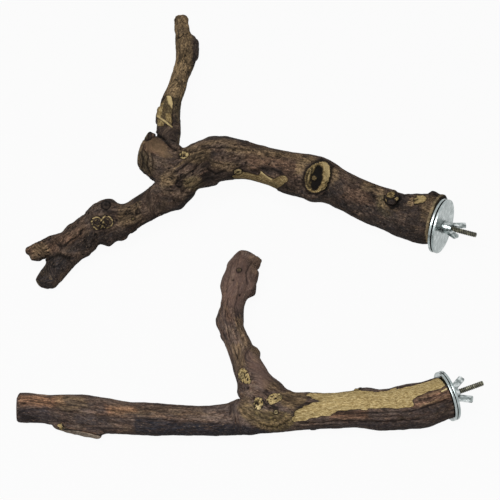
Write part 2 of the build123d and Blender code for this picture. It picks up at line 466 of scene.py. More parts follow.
def addKnot(skin, at=None, corner=None, size=3.0, across=None, rise=0.5, groove=0.5, heart=0.6,
            bare=0.0, pale=0.0, dark=0.6, crumble=0.0, ringed=False, tint="bare", clear=False):
    # a healed knot or pit: low dome, groove round it, sunken heart, with painted shade in the groove and
    # heart
    if corner is None:
        centre, corners = spotUnder(skin, at)
    else:
        centre, corners = skin["place"][corner], [corner]
    normal = unit(skin["normal"][corners].mean(0))
    along = skin["heading"][corners].mean(0)
    along = unit(along - normal * (along @ normal))
    sideways = np.cross(normal, along)
    offset = skin["place"] - centre
    near = np.flatnonzero((np.sum(offset ** 2, axis=1) < (knotForm["reach"] * max(size, across or 0)) ** 2)
                          & (skin["normal"] @ normal > knotForm["sameSide"]))
    offset = offset[near]
    most, span = knotForm["wobble"]
    wobble = 1 + min(most, span / size) * skin["ragged"][near]
    ring = np.hypot(offset @ along / size, offset @ sideways / (across or size)) * wobble
    dome = 1 - softStep(*knotForm["dome"], ring)
    least, span = knotForm["moatWidth"]
    moat = np.exp(-((ring - knotForm["moat"]) / max(least, span / size)) ** 2)
    core = np.exp(-(ring / knotForm["ringedHeart" if ringed else "heart"]) ** 2)
    skin["lift"][near] += rise * dome - groove * moat - heart * core
    face = softStep(*knotForm["face"], ring)
    if clear:
        skin["creviceShade"][near] *= softStep(*knotForm["face"][::-1], ring)
    raiseMask(skin, "creviceShade", np.clip(dark * moat + dark * core, 0, 1), near)
    if ringed:
        inner = softStep(*knotForm["innerRing"], ring) * softStep(*knotForm["innerEnd"], ring)
        face = np.maximum(face * softStep(*knotForm["outerRing"], ring), knotForm["innerShare"] * inner)
    if crumble:
        crumbs = crumbsAt(skin, near)
        skin["lift"][near] += crumble * crumbs * face
        shade = crumbForm["knotDark"] * face * softStep(*crumbForm["knotShade"], crumbs)
        raiseMask(skin, "creviceShade", shade, near)
        bare = bare * softStep(*crumbForm["knotKeep"], crumbs)
    raiseMask(skin, tint, bare * face, near)
    raiseMask(skin, "pale", pale * softStep(*knotForm["paleFrom"], ring) * face, near)


def scatterKnots(skin, perch):  # small knots and pits on the sides that the photograph doesn't show
    rng = np.random.default_rng(perch["seed"])
    away = skin["towards"] < hiddenKnot["turnedAway"]
    hidden = np.flatnonzero(away & (skin["grain"][:, 0] > hiddenKnot["fromCut"]))
    order = np.lexsort(skin["place"][hidden].round(3).T)
    for _ in range(perch["hiddenKnots"]):
        corner = hidden[order[rng.integers(len(order))]]
        big = rng.random()
        grown = {key: hiddenKnot[key][0] + hiddenKnot[key][1] * big for key in ("size", "rise", "groove")}
        addKnot(skin, corner=corner, heart=hiddenKnot["heart"], dark=hiddenKnot["dark"],
                bare=hiddenKnot["bare"] if big > hiddenKnot["bareFrom"] else 0.0, **grown)


def addBark(skin, perch):
    # lumps, long ridges, crust and furrows that follow the grain, less where the wood is bare
    grain = skin["grain"] + perch["seed"] * barkForm["grainSeed"]
    place = skin["place"] + perch["seed"] * barkForm["placeSeed"]
    relief = perch["relief"]
    lumps = sum(share * noiseAt(place / size) for share, size in barkForm["lumps"])
    ridges = noiseAt(grain / barkForm["ridges"])
    crust = noiseAt(grain / barkForm["crust"] + barkForm["crustShift"])
    furrows = 1 - np.abs(noiseAt(grain / barkForm["furrows"] + barkForm["furrowShift"]))
    furrows = furrows ** barkForm["furrowNarrow"]
    flakes = noiseAt(grain / barkForm["flakes"] + barkForm["flakeShift"])
    flakes = softStep(*barkForm["flakeEdge"], flakes)
    patchy = noiseAt(place / barkForm["patchSize"] + barkForm["patchShift"])
    patchy = softStep(*barkForm["patchEdge"], patchy)
    bark = (1 - skin["bare"]) * (1 - barkForm["calmShare"] * skin["calm"])
    furrows = furrows * patchy * bark
    skin["lift"] += relief["lumps"] * lumps * (0.4 + 0.6 * bark)
    skin["lift"] += bark * (relief["ridges"] * ridges + relief["crust"] * crust * (0.4 + patchy))
    skin["lift"] += bark * relief["flakes"] * flakes - relief["furrows"] * furrows
    skin["lift"] += skin["bare"] * barkForm["bareRidges"] * ridges
    # painted shade down in the furrows
    raiseMask(skin, "creviceShade", relief["furrowShade"] * furrows)
    # painted shade: downward-facing bark goes darker
    undersideShade = softStep(*barkForm["undersideTurn"], skin["normal"][:, 2])
    raiseMask(skin, "dark", barkForm["undersideShade"] * undersideShade)


def addCuts(skin, perch):
    # sawn faces where the skin looks along the grain, a rim of bare wood round the bolt's end, and painted
    # shadow in the gap by the washer
    ends = np.abs(np.sum(skin["normal"] * skin["heading"], axis=1))
    ends = softStep(*cutForm["squareness"], ends)
    outwards = (skin["place"] - skin["seat"]) @ skin["outward"]
    rim, gap = [
        softStep(cutForm[fade][0] - perch[width], cutForm[fade][1] - perch[width], outwards)
        for fade, width in (("rimFade", "sawnRim"), ("seatShadowFade", "seatShadow"))
    ]
    raiseMask(skin, "cut", np.maximum(ends * perch["cutEnds"], rim))
    # painted shadow in the gap between the wood and the washer
    raiseMask(skin, "creviceShade", cutForm["seatShadowDark"] * gap)
    skin["lift"] *= 1 - cutForm["flatter"] * ends


def finishSkin(skin, perch):
    place = skin["place"] + skin["normal"] * skin["lift"][:, None]
    over = np.maximum((place - skin["seat"]) @ skin["outward"] + clearance, 0)
    place -= over[:, None] * skin["outward"]
    place = np.clip(place, np.array(cadLow) / mm + clearance, np.array(cadHigh) / mm - clearance)
    setShape(skin, place)
    mesh = skin["mesh"]
    for mask in masks:
        addLayer(mesh, mask, skin[mask])
    addLayer(mesh, "grain", skin["grain"], "FLOAT_VECTOR", "vector")
    mesh.polygons.foreach_set("use_smooth", np.ones(len(mesh.polygons), bool))
    name = perch["name"]
    branch = addObject(name + "_branch_bark", mesh)
    mesh.materials.clear()
    mesh.materials.append(branchMaterial(perch))
    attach(branch, name + "_perch")
    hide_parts(name + "_branch")


# shader parts

def addNode(tree, kind, inputs=None, **settings):
    node = tree.nodes.new("ShaderNode" + kind)
    for key, value in settings.items():
        setattr(node, key, value)
    for key, value in (inputs or {}).items():
        if isinstance(value, bpy.types.NodeSocket):
            tree.links.new(value, node.inputs[key])
        else:
            node.inputs[key].default_value = value
    return node


def useGroup(tree, group, inputs):
    return addNode(tree, "Group", inputs, node_tree=group).outputs


def blendColour(tree, share, first, second, mode="MIX"):
    node = addNode(tree, "Mix", {0: share, 6: first, 7: second}, data_type="RGBA", blend_type=mode)
    return node.outputs[2]


def ramp(tree, value, stops):
    node = addNode(tree, "ValToRGB", {"Fac": value})
    elements = node.color_ramp.elements
    while len(elements) < len(stops):
        elements.new(0.5)
    for element, (position, colour) in zip(elements, stops):
        element.position = position
        element.color = colour
    return node.outputs["Color"]


wideRange = (0.3, 0.7)  # how much of a noise's values is used
sharpRange = (0.36, 0.64)


def remap(tree, value, low, high, toLow=0.0, toHigh=1.0):
    inputs = {"Value": value, "From Min": low, "From Max": high, "To Min": toLow, "To Max": toHigh}
    return addNode(tree, "MapRange", inputs).outputs["Result"]


def maths(tree, operation, first, second=0.0):
    return addNode(tree, "Math", {0: first, 1: second}, operation=operation).outputs[0]


def vectorMaths(tree, operation, first, second):
    return addNode(tree, "VectorMath", {0: first, 1: second}, operation=operation).outputs[0]


def noiseTexture(tree, place, scale, detail, roughness=0.5):
    inputs = {"Vector": place, "Scale": scale, "Detail": detail, "Roughness": roughness}
    return addNode(tree, "TexNoise", inputs).outputs


def shaded(tree, colour, value):  # a colour made lighter or darker by a value
    tone = addNode(tree, "CombineColor", {0: value, 1: value, 2: value})
    return blendColour(tree, 1.0, colour, tone.outputs[0], "MULTIPLY")


def seenDirectly(tree):  # what the camera sees, and what gloss and glass show
    rays = addNode(tree, "LightPath").outputs
    through = maths(tree, "MAXIMUM", rays["Is Glossy Ray"], rays["Is Transmission Ray"])
    return maths(tree, "MAXIMUM", rays["Is Camera Ray"], through)


def newMaterial(name):
    material = bpy.data.materials.new(name)
    material.use_nodes = True
    tree = material.node_tree
    return material, tree, tree.nodes["Principled BSDF"]


def newGroup(name, inputs, outputs):
    tree = bpy.data.node_groups.new(name, "ShaderNodeTree")
    for label, kind, value in inputs:
        socket = tree.interface.new_socket(label, in_out="INPUT", socket_type=kind)
        if value is not None:
            socket.default_value = value
    for label in outputs:
        tree.interface.new_socket(label, in_out="OUTPUT", socket_type="NodeSocketFloat")
    return tree, tree.nodes.new("NodeGroupInput").outputs, tree.nodes.new("NodeGroupOutput").inputs


grainInputs = [("Grain", "NodeSocketVector", None), ("Length", "NodeSocketFloat", 12.0),
               ("Width", "NodeSocketFloat", 2.0), ("Shift", "NodeSocketFloat", 0.0)]


def stretchedGrain(tree, given):  # the grain's place, in lengths and widths of the mark
    size = addNode(tree, "CombineXYZ", {0: given["Length"], 1: given["Width"], 2: given["Width"]})
    scaled = vectorMaths(tree, "DIVIDE", given["Grain"], size.outputs[0])
    return vectorMaths(tree, "ADD", scaled, given["Shift"])


def grainStreaksGroup():
    # streaks that run with the wood: broad ones, fine ones and thin dark checks
    tree, given, made = newGroup("grainStreaks", grainInputs, ("Broad", "Fine", "Checks"))
    place = stretchedGrain(tree, given)
    broad = noiseTexture(tree, place, 1.0, 3.0, 0.6)[0]
    fine = noiseTexture(tree, place, 3.6, 4.0, 0.65)[0]
    lines = noiseTexture(tree, place, 1.7, 2.0)[0]
    middle = maths(tree, "ABSOLUTE", maths(tree, "SUBTRACT", lines, 0.5))
    tree.links.new(broad, made["Broad"])
    tree.links.new(fine, made["Fine"])
    tree.links.new(remap(tree, middle, 0.0, 0.035, 1.0, 0.0), made["Checks"])
    return tree


def barkCrustGroup():
    # dried crust: cells of differing tone, seams between them and scattered pits
    tree, given, made = newGroup("barkCrust", grainInputs, ("Tone", "Seams", "Pits"))
    place = stretchedGrain(tree, given)
    stir = noiseTexture(tree, place, 0.9, 2.0)["Color"]
    shift = vectorMaths(tree, "SUBTRACT", stir, (0.5, 0.5, 0.5))
    grown = addNode(tree, "VectorMath", {0: shift, "Scale": 1.6}, operation="SCALE").outputs[0]
    place = vectorMaths(tree, "ADD", place, grown)
    cells = addNode(tree, "TexVoronoi", {"Vector": place, "Scale": 1.0}).outputs
    edges = addNode(tree, "TexVoronoi", {"Vector": place, "Scale": 1.0}, feature="DISTANCE_TO_EDGE").outputs
    spots = addNode(tree, "TexVoronoi", {"Vector": place, "Scale": 0.45}).outputs
    tone = addNode(tree, "SeparateColor", {0: cells["Color"]}).outputs[0]
    chosen = addNode(tree, "SeparateColor", {0: spots["Color"]}).outputs[0]
    hole = remap(tree, spots["Distance"], 0.14, 0.3, 1.0, 0.0)
    tree.links.new(tone, made["Tone"])
    tree.links.new(remap(tree, edges["Distance"], 0.0, 0.12, 1.0, 0.0), made["Seams"])
    tree.links.new(maths(tree, "MULTIPLY", hole, maths(tree, "GREATER_THAN", chosen, 0.62)), made["Pits"])
    return tree


def platingGroup():
    # cloudy mottle and faint scratches of zinc plating
    inputs = [("Place", "NodeSocketVector", None), ("Scale", "NodeSocketFloat", 300.0)]
    tree, given, made = newGroup("platingMottle", inputs, ("Mottle", "Scratch"))
    stretched = vectorMaths(tree, "MULTIPLY", given["Place"], (4.0, 0.6, 1.0))
    scratchScale = maths(tree, "MULTIPLY", given["Scale"], 5.0)
    tree.links.new(noiseTexture(tree, given["Place"], given["Scale"], 4.0)[0], made["Mottle"])
    tree.links.new(noiseTexture(tree, stretched, scratchScale, 3.0)[0], made["Scratch"])
    return tree


grainStreaks = grainStreaksGroup()
barkCrust = barkCrustGroup()
platingMottle = platingGroup()

woodFinish = {  # the same for both branches; sizes are mm along and across the grain
    "cloudShift": 5.0,
    "streakShift": 0.0,
    "gritShift": 31.0,
    "crustShift": 9.0,
    "fibreSize": (10.0, 1.6),
    "fibreShift": 21.0,
    "speckleSize": (3.2, 1.8),
    "speckleShift": 47.0,
    "creviceFade": 1.7,
    "yearsPerMm": 0.75,
    "yearWobble": 1.5,
    "gloss": 0.05,
    "bumpStrength": 0.8,
    "bumpHeight": 0.7,
}


def branchMaterial(perch):
    material, tree, shader = newMaterial(perch["name"] + "BranchWood")
    colours, bark = perch["colours"], perch["bark"]
    marks = {mask: addNode(tree, "Attribute", attribute_name=mask).outputs["Fac"] for mask in masks}
    grain = addNode(tree, "Attribute", attribute_name="grain").outputs["Vector"]

    def grainMarks(group, size, shift):
        inputs = {"Grain": grain, "Length": size[0], "Width": size[1], "Shift": woodFinish[shift]}
        return useGroup(tree, group, inputs)

    clouds = grainMarks(grainStreaks, bark["cloudSize"], "cloudShift")
    streaks = grainMarks(grainStreaks, bark["streakSize"], "streakShift")
    grit = grainMarks(grainStreaks, bark["gritSize"], "gritShift")
    crust = grainMarks(barkCrust, bark["crustSize"], "crustShift")
    fibre = grainMarks(grainStreaks, woodFinish["fibreSize"], "fibreShift")
    speckle = grainMarks(grainStreaks, woodFinish["speckleSize"], "speckleShift")

    # bark: clouds of brown, then tints, streaks and crust, with painted shade in the seams, pits and checks
    colour = ramp(tree, clouds["Broad"],
                  [(0.3, colours["deep"]), (0.5, colours["middle"]), (0.68, colours["light"])])
    tints = {
        "warm": remap(tree, clouds["Fine"], 0.48, 0.66, 0.0, bark["warm"]),
        "olive": remap(tree, grit["Broad"], 0.52, 0.7, 0.0, bark["olive"]),
        "sand": remap(tree, grit["Broad"], 0.34, 0.22, 0.0, bark["sand"]),
        "dark": remap(tree, streaks["Broad"], 0.55, 0.36, 0.0, bark["dark"]),
    }
    for tint, everywhere in tints.items():
        there = maths(tree, "MULTIPLY", marks[tint], remap(tree, streaks["Fine"], 0.36, 0.56, 0.45, 1.0))
        colour = blendColour(tree, maths(tree, "MAXIMUM", everywhere, there), colour, colours[tint])
    tones = [(streaks["Fine"], wideRange, bark["streaks"]), (grit["Fine"], sharpRange, bark["grit"]),
             (crust["Tone"], (0.0, 1.0), bark["crust"]), (speckle["Fine"], sharpRange, bark["speckle"])]
    for value, span, swing in tones:
        colour = shaded(tree, colour, remap(tree, value, *span, 1 - swing, 1 + swing))
    calm = remap(tree, clouds["Fine"], *wideRange, 0.6, 1.0)
    colour = blendColour(tree, maths(tree, "MULTIPLY", marks["calm"], calm), colour, colours["calm"])
    patchy = remap(tree, clouds["Fine"], 0.46, 0.58)
    seams = maths(tree, "MULTIPLY", maths(tree, "MULTIPLY", crust["Seams"], patchy), bark["seams"])
    pits = maths(tree, "MULTIPLY", crust["Pits"], bark["pits"])
    checks = maths(tree, "MULTIPLY", streaks["Checks"], bark["checks"])
    lines = maths(tree, "MAXIMUM", maths(tree, "MAXIMUM", seams, pits), checks)
    lines = maths(tree, "MULTIPLY", lines, remap(tree, marks["calm"], 0.0, 1.0, 1.0, 0.25))
    colour = blendColour(tree, lines, colour, colours["creviceShade"])
    crumbs = remap(tree, grit["Fine"], 0.62, 0.7, 0.0, bark["crumbs"])
    colour = blendColour(tree, crumbs, colour, colours["crumb"])

    # bare wood: fibres, with painted shade along the edge where the bark ends
    wood = ramp(tree, fibre["Fine"],
                [(0.34, colours["bareDeep"]), (0.5, colours["bare"]), (0.66, colours["barePale"])])
    wood = shaded(tree, wood, remap(tree, speckle["Fine"], *wideRange, 0.55, 1.4))
    wood = shaded(tree, wood, remap(tree, clouds["Fine"], *wideRange, 0.8, 1.15))
    wood = blendColour(tree, maths(tree, "MULTIPLY", fibre["Checks"], 0.45), wood, colours["bareDeep"])
    wood = blendColour(tree, maths(tree, "MULTIPLY", marks["pale"], 0.85), wood, colours["barePale"])
    inner, outer = remap(tree, marks["bare"], 0.02, 0.2), remap(tree, marks["bare"], 0.6, 0.35)
    edge = maths(tree, "MULTIPLY", inner, outer)
    colour = blendColour(tree, maths(tree, "MULTIPLY", edge, 0.75), colour, colours["creviceShade"])
    colour = blendColour(tree, remap(tree, marks["bare"], 0.35, 0.6), colour, wood)

    # sawn ends: year rings round the pith
    section = addNode(tree, "SeparateXYZ", {0: grain}).outputs
    squares = maths(tree, "ADD", maths(tree, "POWER", section[1], 2.0), maths(tree, "POWER", section[2], 2.0))
    years = maths(tree, "MULTIPLY", maths(tree, "SQRT", squares), woodFinish["yearsPerMm"])
    years = maths(tree, "ADD", years, maths(tree, "MULTIPLY", grit["Broad"], woodFinish["yearWobble"]))
    endGrain = blendColour(tree, maths(tree, "FRACT", years), colours["cutDeep"], colours["cut"])
    endGrain = shaded(tree, endGrain, remap(tree, grit["Fine"], *wideRange, 0.7, 1.2))
    colour = blendColour(tree, remap(tree, marks["cut"], 0.3, 0.8), colour, endGrain)
    # painted shade: the colour goes towards the near-black crevice colour in cracks, grooves and hollows
    light = maths(tree, "POWER", maths(tree, "SUBTRACT", 1.0, marks["creviceShade"]), woodFinish["creviceFade"])
    colour = blendColour(tree, light, colours["creviceShade"], colour)
    tree.links.new(colour, shader.inputs["Base Color"])

    rough = remap(tree, grit["Fine"], *wideRange, *perch["roughness"])
    tree.links.new(rough, shader.inputs["Roughness"])
    shader.inputs["Specular IOR Level"].default_value = woodFinish["gloss"]
    heights = [(streaks["Fine"], bark["streaks"] * 1.5), (grit["Fine"], 0.9),
               (crust["Tone"], 0.25), (lines, -0.7)]
    barkHeight = maths(tree, "MULTIPLY", *heights[0])
    for value, share in heights[1:]:
        barkHeight = maths(tree, "ADD", barkHeight, maths(tree, "MULTIPLY", value, share))
    bareHeight = maths(tree, "MULTIPLY", fibre["Fine"], 0.8)
    height = addNode(tree, "Mix", {0: marks["bare"], 2: barkHeight, 3: bareHeight}).outputs[0]
    bump = addNode(tree, "Bump", {"Strength": woodFinish["bumpStrength"],
                                  "Distance": woodFinish["bumpHeight"] * mm, "Height": height})
    tree.links.new(bump.outputs[0], shader.inputs["Normal"])
    return material


# clamp hardware

brightZinc = {  # the washers
    "scale": 260.0,
    "metal": 1.0,
    "deep": (0.25, 0.29, 0.285, 1.0),
    "middle": (0.34, 0.385, 0.38, 1.0),
    "light": (0.52, 0.57, 0.565, 1.0),
    "rough": (0.16, 0.34),
    "nookShade": 0.05,  # how dark the painted shade in narrow gaps goes
    "nookSize": 3.0,
}
castZinc = {  # the nuts: plated over a rough casting
    "scale": 340.0,
    "metal": 1.0,
    "deep": (0.07, 0.08, 0.08, 1.0),
    "middle": (0.31, 0.35, 0.345, 1.0),
    "light": (0.85, 0.88, 0.875, 1.0),
    "rough": (0.12, 0.3),
    "nookShade": 0.05,
    "nookSize": 4.5,
}
yellowZinc = {  # the bolts
    "scale": 420.0,
    "metal": 0.3,
    "deep": (0.035, 0.034, 0.02, 1.0),
    "middle": (0.075, 0.072, 0.04, 1.0),
    "light": (0.4, 0.385, 0.26, 1.0),
    "rough": (0.3, 0.5),
    "groove": (0.012, 0.011, 0.008, 1.0),  # painted shade in the thread's grooves
    "nookShade": 0.3,
    "nookSize": 2.0,
}
boltShape = {
    "crest": 1.97,  # radius over the thread, mm
    "pitch": 1.4,
    "depth": 0.42,
    "woodPitch": 1.8,
    "woodDepth": 0.5,
    "woodPoint": 7.0,
    "pointRadius": 0.4,
    "bevel": 0.5,
    "columns": 28,
    "rowsPerPitch": 10,
}


def platingMaterial(name, finish):
    material, tree, shader = newMaterial(name)
    place = addNode(tree, "TexCoord").outputs["Object"]
    plating = useGroup(tree, platingMottle, {"Place": place, "Scale": finish["scale"]})
    colour = ramp(tree, plating["Mottle"],
                  [(0.3, finish["deep"]), (0.5, finish["middle"]), (0.7, finish["light"])])
    # painted shade: the base colour goes darker down in the thread's grooves
    if "groove" in finish:
        groove = addNode(tree, "Attribute", attribute_name="groove").outputs["Fac"]
        colour = blendColour(tree, remap(tree, groove, 0.2, 0.75), colour, finish["groove"])
    # painted shade: the ambient-occlusion node darkens the base colour in narrow gaps and corners
    nookShade = addNode(tree, "AmbientOcclusion", {"Distance": finish["nookSize"] * mm}, samples=12).outputs["AO"]
    colour = shaded(tree, colour, remap(tree, nookShade, 0.35, 0.82, finish["nookShade"], 1.0))
    tree.links.new(colour, shader.inputs["Base Color"])
    shader.inputs["Metallic"].default_value = finish["metal"]
    rough = remap(tree, plating["Scratch"], *wideRange, *finish["rough"])
    tree.links.new(rough, shader.inputs["Roughness"])
    bump = addNode(tree, "Bump", {"Strength": 0.25, "Distance": 0.05 * mm, "Height": plating["Scratch"]})
    tree.links.new(bump.outputs[0], shader.inputs["Normal"])
    return material


def threadAt(heights, turn, pitch):  # 0 on the crest of the thread, 1 in its groove
    return 1 - np.abs(2 * np.mod(heights / pitch - turn / (2 * pi), 1) - 1)


def hangerBolt(name, material):
    seat, axis = washerSeat(name)
    along = (readArray(frame["nodes"][name + "_hanger_bolt"].data.vertices, "co", 3) / mm - seat) @ axis
    inner, tip = along.min(), along.max()
    upward = unit(np.array((0.0, 0.0, 1.0)) - axis * axis[2])
    sideways = np.cross(axis, upward)
    columns, crest = boltShape["columns"], boltShape["crest"]
    heights = np.arange(inner, tip, boltShape["pitch"] / boltShape["rowsPerPitch"])
    heights = np.append(heights, tip)[:, None]
    turn = np.linspace(0, 2 * pi, columns, endpoint=False)[None, :]
    machine = threadAt(heights, turn, boltShape["pitch"])
    screw = threadAt(heights, turn, boltShape["woodPitch"])
    inWood = heights < 0
    radius = crest - np.where(inWood, boltShape["woodDepth"] * screw, boltShape["depth"] * machine)
    radius = np.minimum(radius, boltShape["pointRadius"] + (heights - inner) / boltShape["woodPoint"] * crest)
    radius = np.minimum(radius, crest - boltShape["bevel"] + (tip - heights))
    rings = seat + heights[..., None] * axis + radius[..., None] * (
        np.cos(turn)[..., None] * upward + np.sin(turn)[..., None] * sideways)
    corners = rings.reshape(-1, 3).tolist() + [(seat + inner * axis).tolist(), (seat + tip * axis).tolist()]
    rows = len(heights)
    faces = [
        (row * columns + column, row * columns + (column + 1) % columns,
         (row + 1) * columns + (column + 1) % columns, (row + 1) * columns + column)
        for row in range(rows - 1) for column in range(columns)
    ]
    last = (rows - 1) * columns
    faces += [(rows * columns, (column + 1) % columns, column) for column in range(columns)]
    faces += [(rows * columns + 1, last + column, last + (column + 1) % columns) for column in range(columns)]
    mesh = bpy.data.meshes.new(name + "_threaded_bolt")
    mesh.from_pydata([[value * mm for value in corner] for corner in corners], [], faces)
    mesh.polygons.foreach_set("use_smooth", np.ones(len(mesh.polygons), bool))
    mesh.materials.append(material)
    addLayer(mesh, "groove", np.append(np.where(inWood, screw, machine).ravel(), (0.0, 0.0)))
    bolt = addObject(name + "_threaded_bolt", mesh)
    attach(bolt, name + "_perch")
    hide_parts(name + "_hanger_bolt")


def finishHardware():
    zinc = platingMaterial("brightZincPlate", brightZinc)
    cast = platingMaterial("castZincNut", castZinc)
    yellow = platingMaterial("yellowZincThread", yellowZinc)
    for name in ("forked", "crook"):
        hangerBolt(name, yellow)
        for piece in ("_inner_washer", "_outer_washer", "_wing_nut"):
            node = frame["nodes"][name + piece]
            node.data.materials.clear()
            node.data.materials.append(cast if piece == "_wing_nut" else zinc)
    print("hardware done")


# the two branches; places are pixels of the photograph, sizes are mm

